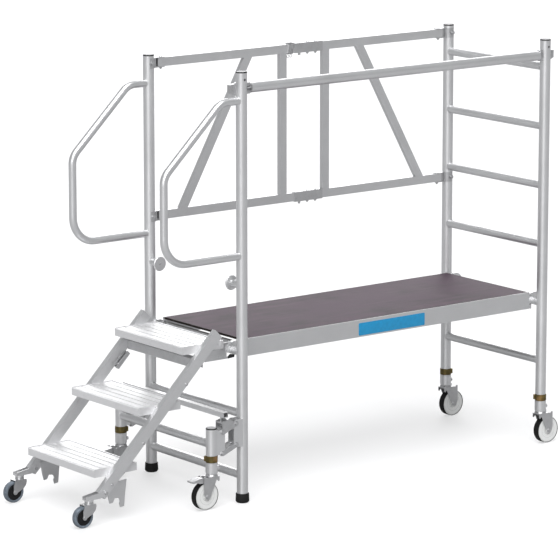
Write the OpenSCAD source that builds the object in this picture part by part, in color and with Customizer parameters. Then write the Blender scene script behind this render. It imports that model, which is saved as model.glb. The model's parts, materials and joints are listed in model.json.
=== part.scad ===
// Folding one-person work platform on casters, millimetres, +Z up.
// X runs along the deck from the stair to the plain end, Y across it.
// The origin is on the floor under the middle of the whole object.

/* [Frame] */
// Distance between the post axes of the two end frames
bay_length = 1770; // [1700:10:1850]
// Distance between the near and far post axes
frame_width = 695; // [680:5:720]
// Top of the post caps above the floor
frame_height = 1933; // [1900:1:1960]
// Outer diameter of the posts
post_d = 50; // [48:1:52]
// Outer diameter of the rungs
rung_d = 38; // [36:1:40]
// Height of the lowest rung
first_rung_z = 123; // [115:1:130]
// Height from rung to rung
rung_pitch = 280; // [275:1:285]
// Wall of the round aluminium tubes
tube_wall = 2; // [1.5:0.5:3]

/* [Handrails] */
// Outer diameter of the bent handrails
handrail_d = 35; // [32:1:38]
// Reach of the handrails in front of the posts
handrail_reach = 420; // [400:5:440]
// Height where a handrail leaves the post at the top
handrail_top_z = 1804; // [1780:1:1820]
// Height where a handrail returns to the post
handrail_low_z = 1116; // [1090:1:1130]

/* [Deck] */
// Height of the walking surface
deck_z = 728; // [724:1:732]
// Width of the platform over its side beams
deck_width = 600; // [590:5:610]
// Height of the side beams
beam_h = 80; // [70:1:85]

/* [Guard] */
// Height of the front guard tube
front_rail_z = 1858; // [1840:1:1865]
// Diameter of the front guard tube
front_rail_d = 45; // [42:1:47]
// Axis height of the upper bar of the back guard
guard_top_z = 1894; // [1885:1:1898]
// Axis height of the lower bar of the back guard
guard_low_z = 1193; // [1180:1:1205]

/* [Casters] */
// Diameter of the four large wheels
wheel_d = 125; // [124:1:126]
// Distance from swivel axis to wheel axis
caster_trail = 37; // [34:1:40]
// Diameter of the two stair wheels
step_wheel_d = 96; // [94:1:97]
// Trail of the stair casters
step_trail = 34; // [32:1:36]

/* [Stair] */
// Rise from tread to tread
stair_rise = 240; // [236:1:244]
// Going from tread to tread
stair_going = 238; // [234:1:242]
// Depth of one tread
tread_depth = 225; // [220:1:230]
// Height of the top tread
top_tread_z = 720; // [716:1:722]

/* [Hidden] */
$fn = 48;
near_y = -frame_width / 2;
far_y = frame_width / 2;
weld_gap = 0.1; // open seam between two tubes that are welded together
run_gap = 0.05; // radial play of a pin in its hole
side_gap = 0.3; // play beside and around moving pieces

// Stair casters and the object's middle, measured from the left posts
step_swivel_dx = -775;
front_dx = step_swivel_dx - step_trail - step_wheel_d / 2;
back_dx = bay_length + caster_trail + wheel_d / 2;
left_x = -(front_dx + back_dx) / 2;
right_x = left_x + bay_length;
mid_x = left_x + bay_length / 2;

cap_h = 6;
post_top_z = frame_height - cap_h;
foot_h = 42;
foot_floor = 14; // rubber under the post
hook_rung_z = first_rung_z + 2 * rung_pitch;
cross_hole_d = 10;
cross_hole_z = frame_height - 35;
guard_bolt_r = 4.5;
stud_z = 984;

// Caster stack above the floor
crown_z = 144;
race_z = 156;
sleeve_z = 161;
collar_z = 211;
collar_h = 28;
tube_z = collar_z + collar_h + 1; // lower end of a tube that stands on a caster
king_r = 6;
axle_r = 5;
fork_inner = 42; // clear width between the legs
plate_t = 3;

// Lifting carriage, measured from the left posts
carriage_dx = -170;
carriage_top_z = 359;
cross_tube_z = 290;
link_vector = [-74, -30]; // from a post pin to its carriage pin
upper_pin = [-50, 371];
lower_pin = [-50, 275];
pin_r = 5;
pedal_bar = [-118, 421];
pedal_overhang = 36;

// Stair, measured from the left posts
stringer_w = 25;
stringer_h = 50;
stringer_y = 75.5; // middle of a stringer from the post axis
stringer_rise = 846; // the stringer's middle line is z = x + this
stringer_top_dx = -80;
stringer_low_dx = -716;
tread_side = 88.2; // edge of the treads from the post axis
tread_front_dx = -260;

aluminium = [0.78, 0.79, 0.8];
zinc = [0.62, 0.63, 0.65];
black = [0.1, 0.1, 0.1];
brass = [0.47, 0.4, 0.2];
disc_grey = [0.83, 0.84, 0.83];

// ---- General shapes ----

// A rod along +Y with its middle at the origin
module y_rod(r, length, sides = 48) {
  rotate([90, 0, 0]) cylinder(r = r, h = length, center = true, $fn = sides);
}

// A plate cut from an XZ outline, its middle at y = 0
module y_plate(t) {
  translate([0, t / 2, 0]) rotate([90, 0, 0]) linear_extrude(t) children();
}

// The section of a round tube
module tube_section(d) {
  difference() {
    circle(d = d);
    circle(d = d - 2 * tube_wall);
  }
}

// A tube that starts at the origin along +X and bends in the XZ plane.
// Each step is [straight length, turn in degrees, bend radius], and butts on the next.
module bent_tube(steps, d, i = 0) {
  if (i < len(steps)) {
    step = steps[i];
    turn = step[1];
    side = sign(turn);
    translate([weld_gap, 0, 0]) rotate([0, 90, 0])
      linear_extrude(step[0] - 2 * weld_gap) tube_section(d);
    if (turn != 0) {
      translate([step[0], 0, side * step[2]]) rotate([side * 90, side * 90, 0])
        rotate_extrude(angle = abs(turn)) translate([step[2], 0]) tube_section(d);
      end = [step[0] + step[2] * sin(abs(turn)), 0, side * step[2] * (1 - cos(turn))];
      translate(end) rotate([0, -turn, 0]) bent_tube(steps, d, i + 1);
    }
  }
}

// A hollow tube along +Y between the near and far posts at x, cut to fit them
module rung(x, z, d = rung_d) {
  difference() {
    translate([x, 0, z]) y_rod(d / 2, frame_width);
    translate([x, 0, z]) y_rod(d / 2 - tube_wall, frame_width + 2);
    for (y = [near_y, far_y])
      translate([x, y, z]) cylinder(r = post_d / 2 + weld_gap, h = 2 * d, center = true);
  }
}

// A post from z0 to z1. A near post has an open hole near its top, a far post has the
// holes of the guard's bolts.
module post(x, y, z0, z1) {
  near = y < 0;
  hole_r = near ? cross_hole_d / 2 : guard_bolt_r;
  difference() {
    translate([x, y, z0]) cylinder(d = post_d, h = z1 - z0);
    translate([x, y, z0 - 1]) cylinder(d = post_d - 2 * tube_wall, h = z1 - z0 + 2);
    for (z = near ? [cross_hole_z] : [guard_low_z, guard_top_z])
      translate([x, y, z]) y_rod(hole_r, post_d + 10);
  }
}

// Hollow rectangular tube along +X, from the origin, centred in Y and Z
module box_tube(length, w, h, t = 2) {
  difference() {
    translate([0, -w / 2, -h / 2]) cube([length, w, h]);
    translate([-1, t - w / 2, t - h / 2]) cube([length + 2, w - 2 * t, h - 2 * t]);
  }
}

// Hexagon bolt along +Y with its shank's middle at the origin, and its nut
module y_bolt(r, length, head = 4) {
  y_rod(r, length);
  for (side = [-1, 1])
    translate([0, side * (length + head) / 2, 0]) y_rod(1.75 * r, head, 6);
}

// Hexagon bolt along +Z
module z_bolt(r, length, head = 4) {
  rotate([90, 0, 0]) y_bolt(r, length, head);
}

// ---- End frames ----

module left_end_frame() {
  color(aluminium) {
    for (y = [near_y, far_y]) post(left_x, y, foot_floor, post_top_z);
    for (i = [0:2]) rung(left_x, first_rung_z + i * rung_pitch);
  }
}

module right_end_frame() {
  color(aluminium) {
    for (y = [near_y, far_y]) post(right_x, y, tube_z, post_top_z);
    for (i = [1:6]) rung(right_x, first_rung_z + i * rung_pitch);
  }
}

// Handrail: out from the post, down a slope, down, and back to the post
module handrail(y) {
  slope = 44;
  bend_r = 80;
  low_bend_r = 115;
  knee = 112; // where the slope begins, in front of the post
  run = handrail_reach - knee;
  slope_length = run / cos(slope);
  knee_cut = bend_r * tan(slope / 2);
  elbow_cut = bend_r * tan((90 - slope) / 2);
  elbow_z = handrail_top_z - run * tan(slope);
  steps = [
    [knee - knee_cut, -slope, bend_r],
    [slope_length - knee_cut - elbow_cut, slope - 90, bend_r],
    [elbow_z - handrail_low_z - elbow_cut - low_bend_r, -90, low_bend_r],
    [handrail_reach - low_bend_r, 0, 0]
  ];
  difference() {
    translate([left_x, y, handrail_top_z]) rotate([0, 0, 180]) bent_tube(steps, handrail_d);
    translate([left_x, y, 0]) cylinder(r = post_d / 2 + weld_gap, h = frame_height);
  }
}

module near_handrail() {
  color(aluminium) handrail(near_y);
}

module far_handrail() {
  color(aluminium) handrail(far_y);
}

// Flat plug with a rounded rim that closes the top of a tube
module tube_cap(d, rim) {
  plug_r = d / 2 - tube_wall;
  rotate_extrude() polygon([
    [0, -14], [plug_r, -14], [plug_r, 0], [d / 2, 0], [d / 2, rim - 2],
    [d / 2 - 2, rim], [0, rim]
  ]);
}

module post_caps() {
  color(black)
    for (x = [left_x, right_x], y = [near_y, far_y])
      translate([x, y, post_top_z]) tube_cap(post_d, cap_h);
}

// Cup that the post stands in, with a chamfered tread
module rubber_feet() {
  outer = 31;
  color(black)
    for (y = [near_y, far_y]) translate([left_x, y, 0]) rotate_extrude() polygon([
      [0, 0], [outer - 6, 0], [outer - 1, 5], [outer, 9], [outer - 1.5, foot_h - 2],
      [outer - 3, foot_h], [post_d / 2, foot_h], [post_d / 2, foot_floor], [0, foot_floor]
    ]);
}

// Mushroom studs that hold the folded stair, on the inner sides of the left posts
module rail_studs() {
  stem = 80;
  color(aluminium)
    for (side = [-1, 1])
      difference() {
        translate([left_x, side * frame_width / 2, stud_z]) rotate([side * 90, 0, 0])
          rotate_extrude() polygon([
            [0, 0], [17, 0], [17, stem - 12], [31, stem - 8], [33, stem - 5],
            [33, stem - 2], [31, stem], [5, stem], [4, stem - 6], [0, stem - 6]
          ]);
        translate([left_x, side * frame_width / 2, 0])
          cylinder(r = post_d / 2 + weld_gap, h = frame_height);
      }
}

// ---- Front guard ----

clamp_h = 50;
clamp_r = post_d / 2 + 6;
rail_start = 46; // from a post axis to the rail's end

module front_rail() {
  color(aluminium)
    translate([left_x + rail_start, near_y, front_rail_z]) rotate([0, 90, 0])
      difference() {
        cylinder(d = front_rail_d, h = bay_length - 2 * rail_start);
        translate([0, 0, -1])
          cylinder(d = front_rail_d - 2 * tube_wall, h = bay_length - 2 * rail_start + 2);
      }
}

// Head at a rail's end: two jaws on the post with a pin between them, a plug in the rail,
// and a claw round the post's far side that ends in a tapered latch block
module rail_clamp() {
  jaw_h = 15;
  claw_y0 = 6; // the claw and the block lie beyond this
  difference() {
    union() {
      for (z = [-clamp_h / 2, clamp_h / 2 - jaw_h])
        translate([0, -9, z]) cube([rail_start - 4, 22, jaw_h]);
      rotate([0, 90, 0]) cylinder(r = 7, h = rail_start - 3);
      translate([rail_start - 6, 0, 0]) rotate([0, 90, 0]) cylinder(d = front_rail_d, h = 6 - weld_gap);
      translate([rail_start - 1, 0, 0]) rotate([0, 90, 0])
        cylinder(r = front_rail_d / 2 - tube_wall, h = 21);
      intersection() {
        cylinder(r = clamp_r, h = clamp_h, center = true);
        translate([-clamp_r, claw_y0, -clamp_h]) cube([2 * clamp_r, clamp_r, 2 * clamp_h]);
      }
      translate([0, claw_y0 + 10, 0]) y_plate(20)
        polygon([[-58, -16], [-58, 19], [-14, 22], [-14, -34]]);
    }
    cylinder(r = post_d / 2, h = 2 * clamp_h, center = true);
    for (z = [-4, 9]) translate([-44, claw_y0, z]) y_rod(2, 6);
  }
}

module front_rail_clamps() {
  color(zinc) {
    translate([left_x, near_y, front_rail_z]) rail_clamp();
    translate([right_x, near_y, front_rail_z]) mirror([1, 0, 0]) rail_clamp();
  }
}

// ---- Back guard ----

bar_h = 40;
bar_t = 20;
half_gap = 8; // from the middle of the bay to a bar's end
bar_end = bay_length / 2 - 46;
hinge_dx = 67; // from a post axis to the hinge bolt of the guard
hinge_r = 4;
centre_pin_dx = 25; // hinge pin at the middle, on the left half
centre_pin_r = 6;
centre_bolt_dx = [23, 70]; // bolts that hold the channel on the right half
bracket_inner = bar_h / 2 + weld_gap;
bracket_wall = 3;
upright_dx = 126;

// One half, measured from the middle of the bay towards +X, with holes near the middle
module guard_half(hole_dx, hole_r) {
  inner_low = guard_low_z + bar_h / 2 + weld_gap;
  inner_top = guard_top_z - bar_h / 2 - weld_gap;
  diagonal_top = 330;
  diagonal_low = 700;
  drop = inner_top - inner_low;
  lean = atan2(drop, diagonal_low - diagonal_top);
  for (z = [guard_low_z, guard_top_z])
    difference() {
      translate([half_gap, 0, z]) box_tube(bar_end - half_gap, bar_t, bar_h);
      for (x = hole_dx) translate([x, 0, z]) cylinder(r = hole_r, h = bar_h + 2, center = true);
      translate([bay_length / 2 - hinge_dx, 0, z])
        cylinder(r = hinge_r, h = bar_h + 2, center = true);
    }
  translate([upright_dx, 0, inner_low]) rotate([0, -90, 0]) box_tube(drop, bar_t, bar_h);
  intersection() {
    translate([(diagonal_top + diagonal_low) / 2, 0, (inner_low + inner_top) / 2])
      rotate([0, lean, 0]) translate([-500, 0, 0]) box_tube(1000, bar_t, bar_h);
    translate([diagonal_top - 100, -bar_t, inner_low])
      cube([diagonal_low - diagonal_top + 200, 2 * bar_t, drop]);
  }
}

module guard_left_half() {
  color(aluminium) translate([mid_x, far_y, 0]) mirror([1, 0, 0])
    guard_half([centre_pin_dx], centre_pin_r);
}

module guard_right_half() {
  color(aluminium) translate([mid_x, far_y, 0]) guard_half(centre_bolt_dx, hinge_r);
}

// Channels over the joint of the two halves, their webs towards the deck
module guard_centre_brackets() {
  reach_left = 60;
  reach_right = upright_dx - bar_h / 2 - 2;
  length = reach_left + reach_right;
  depth = bar_t / 2 + weld_gap;
  color(zinc)
    for (z = [guard_low_z, guard_top_z])
      translate([mid_x, far_y, z]) difference() {
        translate([-reach_left, -depth - bracket_wall, -bracket_inner - bracket_wall])
          cube([length, 2 * depth + bracket_wall, 2 * (bracket_inner + bracket_wall)]);
        translate([-reach_left - 1, -depth, -bracket_inner])
          cube([length + 2, 2 * depth + 1, 2 * bracket_inner]);
        for (x = centre_bolt_dx)
          translate([x, 0, 0]) cylinder(r = hinge_r, h = 100, center = true);
        translate([-centre_pin_dx, 0, 0]) cylinder(r = centre_pin_r, h = 100, center = true);
      }
}

// Wire clip wound round the upper bar, with two loose rings, that keeps the joint shut
module guard_lock_spring() {
  turns = 4;
  wire = 4;
  first_dx = -97;
  pitch = 9;
  half_w = bar_t / 2 + wire;
  half_h = bar_h / 2 + wire + 1.5;
  ring_r = 6.5;
  ring_wire_r = 1.2;
  ring_z = -half_h - ring_r - ring_wire_r - 0.1;
  color(zinc) {
    for (i = [0:turns - 1])
      translate([mid_x + first_dx + i * pitch, far_y, guard_top_z]) rotate([0, 12, 0])
        rotate([0, 90, 0]) linear_extrude(wire, center = true) difference() {
          square([2 * half_h, 2 * half_w], center = true);
          square([2 * (half_h - wire), 2 * (half_w - wire) + 0.4], center = true);
        }
    for (i = [0, 1])
      translate([mid_x - 101 + i * 17, far_y - half_w + 2, guard_top_z + ring_z])
        rotate([90, 0, 0]) rotate_extrude() translate([ring_r, 0]) circle(r = ring_wire_r);
  }
}

// Bracket of the guard on a back post: flanges over the bar's end and a saddle on the post
module guard_post_bracket() {
  reach = hinge_dx + 14;
  saddle_r = post_d / 2 + bracket_wall;
  height = 2 * (bracket_inner + bracket_wall);
  difference() {
    union() {
      translate([16, -bar_t / 2 - 3, -height / 2]) cube([reach - 16, bar_t + 6, height]);
      intersection() {
        cylinder(r = saddle_r, h = height, center = true);
        translate([-9, -40, -40]) cube([80, 80, 80]);
      }
    }
    translate([32, -50, -bracket_inner]) cube([100, 100, 2 * bracket_inner]);
    cylinder(r = post_d / 2 + weld_gap, h = 100, center = true);
    y_rod(guard_bolt_r, 100);
    translate([hinge_dx, 0, 0]) cylinder(r = hinge_r, h = 100, center = true);
  }
}

module guard_post_brackets() {
  color(zinc)
    for (z = [guard_low_z, guard_top_z]) {
      translate([left_x, far_y, z]) guard_post_bracket();
      translate([right_x, far_y, z]) mirror([1, 0, 0]) guard_post_bracket();
    }
}

// ---- Deck ----

deck_inset = 36; // from a post axis to the deck's end beam
board_inset = 42;
board_t = 10;
lip_t = 3;
beam_w = 25;
deck_half = deck_width / 2;
beam_length = bay_length - 2 * deck_inset;
end_beam_h = 44;

module deck_board() {
  half = deck_half - lip_t - 0.2;
  color([0.36, 0.32, 0.36])
    translate([left_x + board_inset, -half, deck_z - board_t])
      cube([bay_length - 2 * board_inset, 2 * half, board_t]);
}

// Section of the near side beam: a box with a lip that holds the board
module side_beam_section() {
  top = deck_z - board_t;
  difference() {
    polygon([
      [-deck_half, deck_z - beam_h], [-deck_half + beam_w, deck_z - beam_h],
      [-deck_half + beam_w, top], [-deck_half + lip_t, top],
      [-deck_half + lip_t, deck_z], [-deck_half, deck_z]
    ]);
    translate([-deck_half + lip_t, deck_z - beam_h + lip_t])
      square([beam_w - 2 * lip_t, beam_h - board_t - 2 * lip_t]);
  }
}

module deck_frame() {
  member_w = 40;
  member_h = 25;
  member_count = 6;
  span = deck_width - 2 * beam_w - 2 * weld_gap;
  first = left_x + deck_inset + 12;
  pitch = (beam_length - 24) / (member_count - 1);
  color(aluminium) {
    for (side = [0, 1])
      translate([left_x + deck_inset, 0, 0]) mirror([0, side, 0])
        rotate([90, 0, 90]) linear_extrude(beam_length) side_beam_section();
    for (i = [1:member_count - 2])
      translate([first + i * pitch, -span / 2, deck_z - board_t - member_h / 2])
        rotate([0, 0, 90]) box_tube(span, member_w, member_h);
    for (x = [left_x + deck_inset + 12, right_x - deck_inset - 12])
      translate([x, -span / 2, hook_rung_z]) rotate([0, 0, 90]) box_tube(span, 24, end_beam_h);
    // lugs that carry the shaft of the wind lock
    for (y = [-lock_y - 14, lock_y + 14])
      translate([right_x, y, hook_rung_z]) y_plate(4) difference() {
        translate([-58, lock_pivot[1] - 9])
          square([20, -lock_pivot[1] + 9 - end_beam_h / 2 - weld_gap]);
        translate(lock_pivot) circle(r = lock_shaft_r + run_gap);
      }
  }
}

claw_t = 16;
claw_y = deck_half - 12;
claw_bolts = [[28, 28], [28, -14]]; // on the root, from the rung's axis

// Hook over a rung, with a root that is fixed to the deck's end
module claw_outline() {
  outer = rung_d / 2 + 24;
  slot = rung_d / 2 + side_gap;
  difference() {
    union() {
      circle(r = outer);
      translate([0, -30]) square([deck_inset - weld_gap, 68]);
    }
    circle(r = slot);
    translate([-50, -50]) square([58, 44]);
    translate([-slot, -50]) square([2 * slot, 50]);
    translate([-23, 21]) circle(r = 6);
    for (at = claw_bolts) translate(at) circle(r = 3);
  }
}

module deck_claws() {
  color(aluminium)
    for (y = [-claw_y, claw_y]) {
      translate([left_x, y, hook_rung_z]) y_plate(claw_t) claw_outline();
      translate([right_x, y, hook_rung_z]) mirror([1, 0, 0]) y_plate(claw_t) claw_outline();
    }
}

// ---- Wind lock: hooks under the right rung that keep the deck from lifting ----

lock_pivot = [-48, -34]; // from the right rung's axis
lock_shaft_r = 4;
lock_y = deck_half - 70;

// Hook that opens towards the upper left, so that it swings down and away from the rung
module wind_lock_outline() {
  ring = rung_d / 2 + 1;
  lean = atan2(-lock_pivot[1], -lock_pivot[0]);
  difference() {
    union() {
      circle(r = ring + 6);
      translate(lock_pivot) circle(r = 9);
      polygon([
        lock_pivot + [0, -9], [-8, -26], [-20, -14], lock_pivot + [4, 6]
      ]);
    }
    circle(r = ring);
    rotate(lean) translate([-ring - 8, 0]) square([2 * ring + 20, 40]);
  }
}

module wind_lock_hooks() {
  color(zinc) {
    for (y = [-lock_y, lock_y])
      translate([right_x, y, hook_rung_z]) y_plate(5) difference() {
        wind_lock_outline();
        translate(lock_pivot) circle(r = lock_shaft_r);
      }
    translate([right_x + lock_pivot[0], 0, hook_rung_z + lock_pivot[1]])
      y_rod(lock_shaft_r, 2 * lock_y + 44);
  }
}

// ---- Casters ----

// Sleeve, fixed bearing race and king pin above a caster, on its swivel axis
module caster_socket() {
  stem_r = post_d / 2 - tube_wall;
  rotate_extrude() polygon([
    [0, crown_z - 8], [king_r, crown_z - 8], [king_r, race_z], [24, race_z], [25, race_z + 2],
    [25, sleeve_z], [27, sleeve_z + 1], [27, collar_z - 2], [25, collar_z - 1],
    [stem_r - 0.5, collar_z - 1], [stem_r - 0.5, tube_z + 60], [0, tube_z + 60]
  ]);
  difference() {
    translate([0, 0, crown_z - 8]) cylinder(r = 9, h = 8 - side_gap, $fn = 6);
    translate([0, 0, crown_z - 9]) cylinder(r = king_r, h = 9);
  }
  translate([24, -11, 172]) cube([9, 22, 18]);
  translate([29, 0, 181]) y_rod(3.5, 32, 6);
}

// Locking ring with a lug, between sleeve and tube
module caster_collar() {
  inner = post_d / 2 - tube_wall - 0.5;
  difference() {
    union() {
      cylinder(r = 27.5, h = collar_h);
      translate([0, -6, 4]) cube([34, 12, collar_h - 6]);
    }
    translate([0, 0, -1]) cylinder(r = inner, h = collar_h + 2);
  }
}

// Side plate of the fork, seen along Y, the wheel towards +X: a lip folded down in front,
// a slope to the axle and an upright rear edge with an ear
module fork_leg_outline(trail, axle_z, crown, back) {
  boss = 14;
  difference() {
    union() {
      polygon([
        [-26, crown + 4], [-26, crown - 16], [-21, crown - 20], [-12, crown - 9],
        [trail - boss - 2, axle_z + 4], [trail - boss, axle_z], [trail + boss, axle_z],
        [back, axle_z + 12], [back, crown + 8], [back - 8, crown + 8], [back - 12, crown],
        [back - 22, crown + 3], [30, crown + 4]
      ]);
      translate([trail, axle_z]) circle(r = boss);
    }
    translate([trail, axle_z]) circle(r = axle_r);
  }
}

// Large swivel fork with its axle; trail towards +X, axis through the origin
module caster_fork(brake) {
  axle_z = wheel_d / 2;
  back = caster_trail + 21;
  outer = fork_inner / 2 + plate_t;
  difference() {
    union() {
      for (side = [-1, 1]) translate([0, side * (outer - plate_t / 2), 0])
        y_plate(plate_t) fork_leg_outline(caster_trail, axle_z, crown_z, back);
      translate([-26, -outer, crown_z]) cube([56, 2 * outer, 4]);
      translate([0, 0, crown_z]) rotate_extrude() polygon([
        [0, 1], [27.5, 1], [28, 5], [26, race_z - crown_z - 3],
        [24.5, race_z - crown_z - side_gap], [0, race_z - crown_z - side_gap]
      ]);
    }
    translate([0, 0, crown_z - 5]) cylinder(r = king_r + run_gap, h = 60);
  }
  translate([caster_trail, 0, axle_z]) y_bolt(axle_r, 2 * outer);
  if (brake)
    translate([brake_pivot[0], 0, brake_pivot[1]]) y_rod(brake_pin_r, fork_inner);
}

// Wheel disc with hub and moulded rings
module wheel_disc(r, w, hub_w, hub_r, bore) {
  dish = w / 2 - 1.5;
  half = [
    [bore, hub_w / 2], [hub_r - 2, hub_w / 2], [hub_r, hub_w / 2 - 2],
    [hub_r + 1, dish - 1], [hub_r + 6, dish - 2.5], [hub_r + 8, dish], [r - 3, dish],
    [r, dish - 2]
  ];
  other = [for (i = [len(half) - 1:-1:0]) [half[i][0], -half[i][1]]];
  rotate([90, 0, 0]) rotate_extrude() polygon(concat(half, other));
}

// Crowned tyre on the disc
module tyre_ring(rim, r, w) {
  edge = min(3, (r - rim) / 3);
  half = [
    [rim, w / 2 - 3.5], [rim + edge / 2, w / 2 - 0.5], [r - edge, w / 2],
    [r - edge / 3, w / 2 - edge], [r, w / 2 - 2 * edge - 1]
  ];
  other = [for (i = [len(half) - 1:-1:0]) [half[i][0], -half[i][1]]];
  rotate([90, 0, 0]) rotate_extrude() polygon(concat(half, other));
}

tyre_w = 36;
rim_r = 59.5;
brake_pivot = [50, 135];
brake_pin_r = 3;

module caster_wheel() {
  translate([caster_trail, 0, wheel_d / 2])
    wheel_disc(rim_r, tyre_w, fork_inner - 2 * side_gap, 16, axle_r + run_gap);
}

module caster_tyre() {
  translate([caster_trail, 0, wheel_d / 2]) tyre_ring(rim_r, wheel_d / 2, tyre_w);
}

// Pedal that presses a shoe on the tyre
module caster_brake() {
  w = fork_inner - 4;
  translate([brake_pivot[0], 0, brake_pivot[1]]) y_plate(w) difference() {
    union() {
      circle(r = 6);
      polygon([
        [-4, 5], [10, 14], [22, 13], [68, 5], [72, 1], [66, -3], [38, -5], [28, -10],
        [18, -10], [9, -11.6], [2, -6]
      ]);
    }
    circle(r = brake_pin_r + run_gap);
  }
}

// Where each large caster stands: [x, y, heading of its trail]
near_right_at = [right_x, near_y, 0];
far_right_at = [right_x, far_y, 0];
near_left_at = [left_x + carriage_dx, near_y, 180];
far_left_at = [left_x + carriage_dx, far_y, 180];

module stand(at) {
  translate([at[0], at[1], 0]) rotate([0, 0, at[2]]) children();
}

module near_right_fork() { color(zinc) stand(near_right_at) caster_fork(false); }
module far_right_fork() { color(zinc) stand(far_right_at) caster_fork(false); }
module near_left_fork() { color(zinc) stand(near_left_at) caster_fork(true); }
module far_left_fork() { color(zinc) stand(far_left_at) caster_fork(true); }
module near_right_wheel() { color(disc_grey) stand(near_right_at) caster_wheel(); }
module far_right_wheel() { color(disc_grey) stand(far_right_at) caster_wheel(); }
module near_left_wheel() { color(disc_grey) stand(near_left_at) caster_wheel(); }
module far_left_wheel() { color(disc_grey) stand(far_left_at) caster_wheel(); }
module near_right_tyre() { color(black) stand(near_right_at) caster_tyre(); }
module far_right_tyre() { color(black) stand(far_right_at) caster_tyre(); }
module near_left_tyre() { color(black) stand(near_left_at) caster_tyre(); }
module far_left_tyre() { color(black) stand(far_left_at) caster_tyre(); }
module near_left_brake() { color(zinc) stand(near_left_at) caster_brake(); }
module far_left_brake() { color(zinc) stand(far_left_at) caster_brake(); }

module right_caster_sockets() {
  color(zinc)
    for (y = [near_y, far_y]) translate([right_x, y, 0]) caster_socket();
}

module right_collars() {
  color(brass) {
    translate([right_x, near_y, collar_z]) rotate([0, 0, 142]) caster_collar();
    translate([right_x, far_y, collar_z]) rotate([0, 0, -38]) caster_collar();
  }
}

// ---- Lifting carriage of the left end frame ----

link_plate_y = 19; // inner face of the fixed plates
link_plate_t = 3;
link_y = link_plate_y + link_plate_t + side_gap; // inner face of the links

// Pair of plates that stand off a post and carry two pins
module post_link_plates() {
  for (side = [-1, 1])
    translate([0, side * (link_plate_y + link_plate_t / 2), 0]) difference() {
      y_plate(link_plate_t) difference() {
        polygon([
          [0, 262], [-44, 262], [-62, 270], [-62, 380], [-52, 388], [0, 388]
        ]);
        for (pin = [upper_pin, lower_pin]) translate(pin) circle(r = pin_r);
      }
      translate([0, -side * (link_plate_y + link_plate_t / 2), 0])
        cylinder(r = post_d / 2 + weld_gap, h = frame_height);
    }
}

module link_brackets() {
  color(aluminium)
    for (y = [near_y, far_y]) translate([left_x, y, 0]) post_link_plates();
}

// Plates on a carriage tube, with the far ends of the links
module carriage_link_plates() {
  pins = [upper_pin + link_vector, lower_pin + link_vector];
  for (side = [-1, 1])
    translate([0, side * (link_plate_y + link_plate_t / 2), 0]) difference() {
      y_plate(link_plate_t) difference() {
        polygon([
          [carriage_dx, 242], [-142, 242], [-134, 234], [-122, 233], [-112, 240],
          [-112, 346], [-118, 352], [carriage_dx, 352]
        ]);
        for (pin = pins) translate(pin) circle(r = pin_r);
      }
      translate([carriage_dx, -side * (link_plate_y + link_plate_t / 2), 0])
        cylinder(r = post_d / 2 + weld_gap, h = frame_height);
    }
}

module carriage_frame() {
  color(aluminium) {
    for (y = [near_y, far_y]) {
      translate([left_x + carriage_dx, y, tube_z]) difference() {
        cylinder(d = post_d, h = carriage_top_z - tube_z);
        translate([0, 0, -1])
          cylinder(d = post_d - 2 * tube_wall, h = carriage_top_z - tube_z + 2);
      }
      translate([left_x, y, 0]) carriage_link_plates();
    }
    rung(left_x + carriage_dx, cross_tube_z);
  }
}

module carriage_sockets() {
  color(zinc)
    for (y = [near_y, far_y]) translate([left_x + carriage_dx, y, 0]) caster_socket();
}

module carriage_collars() {
  color(brass) {
    translate([left_x + carriage_dx, near_y, collar_z]) rotate([0, 0, 142]) caster_collar();
    translate([left_x + carriage_dx, far_y, collar_z]) rotate([0, 0, -38]) caster_collar();
  }
}

module carriage_caps() {
  color(black)
    for (y = [near_y, far_y])
      translate([left_x + carriage_dx, y, carriage_top_z]) tube_cap(post_d, cap_h);
}

link_pin_length = 2 * (link_y + link_plate_t + 1);

module carriage_pins() {
  color(zinc)
    for (y = [near_y, far_y], pin = [upper_pin + link_vector, lower_pin + link_vector])
      translate([left_x + pin[0], y, pin[1]]) y_bolt(pin_r, link_pin_length);
}

// Link plate with its two holes; the hole on the carriage pin may be wider
module link_outline(from, vector, play) {
  r = 11;
  along = atan2(vector[1], vector[0]);
  difference() {
    union() {
      translate(from) circle(r = r);
      translate(from + vector) circle(r = r);
      translate(from) rotate(along) translate([0, -r]) square([norm(vector), 2 * r]);
      children();
    }
    translate(from) circle(r = pin_r + run_gap);
    translate(from + vector) circle(r = pin_r + play);
  }
}

module both_link_sides() {
  for (y = [near_y, far_y], side = [-1, 1])
    translate([left_x, y + side * (link_y + link_plate_t / 2), 0]) y_plate(link_plate_t)
      children();
}

bar_size = [26, 24];
web_t = 3;

// Web that joins the two side plates of a link into a channel, above or below its pins
module link_web(from, side) {
  along = atan2(link_vector[1], link_vector[0]);
  for (y = [near_y, far_y])
    translate([left_x + from[0], y, from[1]]) rotate([0, -along, 0])
      translate([22, -link_y, side * 9.5 - web_t / 2]) cube([38, 2 * link_y, web_t]);
}

module upper_links() {
  bar_low = pedal_bar[1] - bar_size[1] / 2 - weld_gap;
  color(zinc) {
    both_link_sides() link_outline(upper_pin, link_vector, run_gap)
      polygon([
        upper_pin + [-16, 8], upper_pin + [-34, 26], [pedal_bar[0] + 6, bar_low - 18],
        [pedal_bar[0] - 10, bar_low - 22], upper_pin + link_vector + [-4, 8],
        upper_pin + link_vector
      ]);
    link_web(upper_pin, -1);
    // rods that carry the pedal bar
    for (y = [near_y, far_y])
      translate([left_x + pedal_bar[0], y, bar_low - 26]) {
        cylinder(r = 4, h = 26);
        translate([-9, -link_y, -4]) cube([18, 2 * link_y, 6]);
      }
  }
}

module lower_links() {
  color(zinc) {
    both_link_sides() link_outline(lower_pin, link_vector, side_gap);
    link_web(lower_pin, -1);
  }
}

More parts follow.
